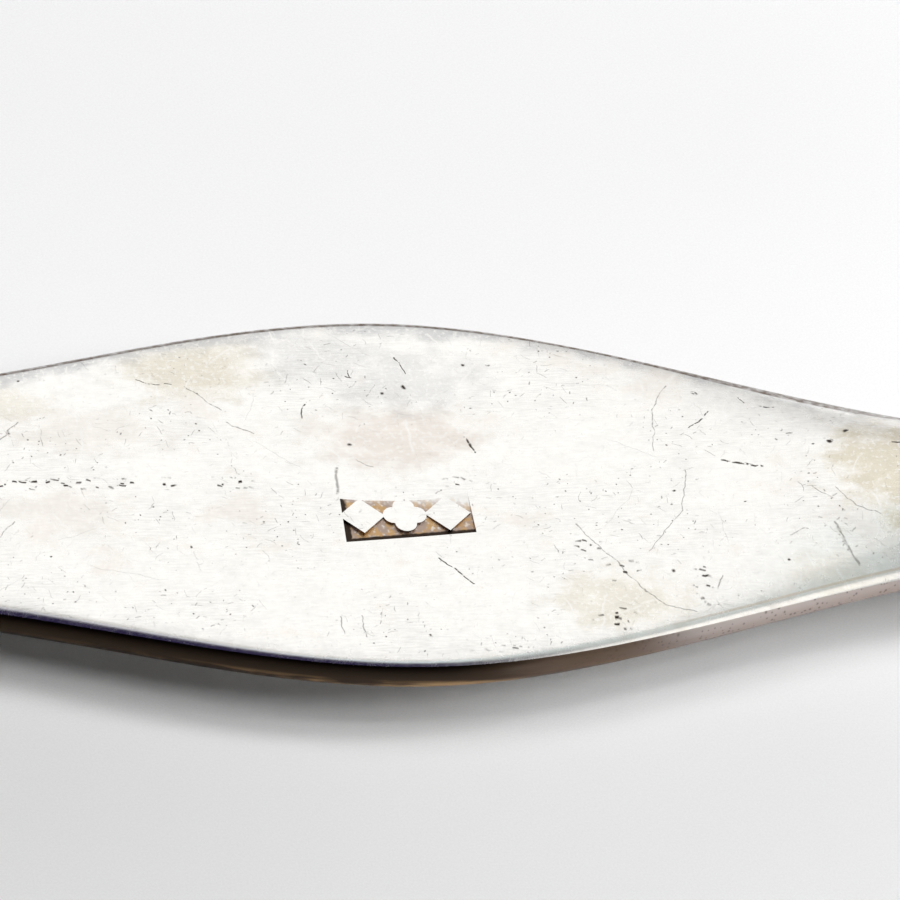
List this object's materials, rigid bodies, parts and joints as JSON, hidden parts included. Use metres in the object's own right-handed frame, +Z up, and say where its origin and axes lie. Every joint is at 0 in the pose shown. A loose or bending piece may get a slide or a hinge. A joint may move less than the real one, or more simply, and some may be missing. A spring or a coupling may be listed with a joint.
{
  "type": "sugar tongs",
  "caption": "Plain silver sugar tongs: a spring bow, flat arms with leaf-shaped finger swells, rounded stems and oval spoon bowls that close on a lump when the arms are squeezed.",
  "frame": {"origin": "on the table, under the middle of the tongs' box as they lie on one arm", "axes": "+Z up from the table, +X from the bow to the bowls, +Y across the arms' width"},
  "size_m": [0.142, 0.0162, 0.0517],
  "materials": {
    "silver": "old hand-polished silver, worn satin with fine scratches, pits and traces of brown tarnish",
    "solder": "silver solder, a little yellower than the sheet, filed flush"
  },
  "bodies": {
    "bow": {"bow_spring": "silver"},
    "lower_arm": {"lower_arm": "silver", "lower_bowl": "silver", "lower_bow_solder": "solder", "lower_bowl_solder": "solder"},
    "upper_arm": {"upper_arm": "silver", "upper_bowl": "silver", "upper_bow_solder": "solder", "upper_bowl_solder": "solder"}
  },
  "joints": [
    {"name": "lower_arm_flex", "type": "hinge", "parent": "bow", "child": "lower_arm", "pos_m": [-0.0654, 0, 0.00464], "axis": [0, -1, 0], "range_deg": [-2, 9.35], "stiffness_Nm_per_rad": 2.5, "deforming": ["bow_spring"]},
    {"name": "upper_arm_flex", "type": "hinge", "parent": "bow", "child": "upper_arm", "pos_m": [-0.06709, 0, 0.0206], "axis": [0, 1, 0], "range_deg": [-2, 9.35], "stiffness_Nm_per_rad": 2.5}
  ],
  "couplings": [
    {"joint": "upper_arm_flex", "follows": "lower_arm_flex", "ratio": 1}
  ]
}
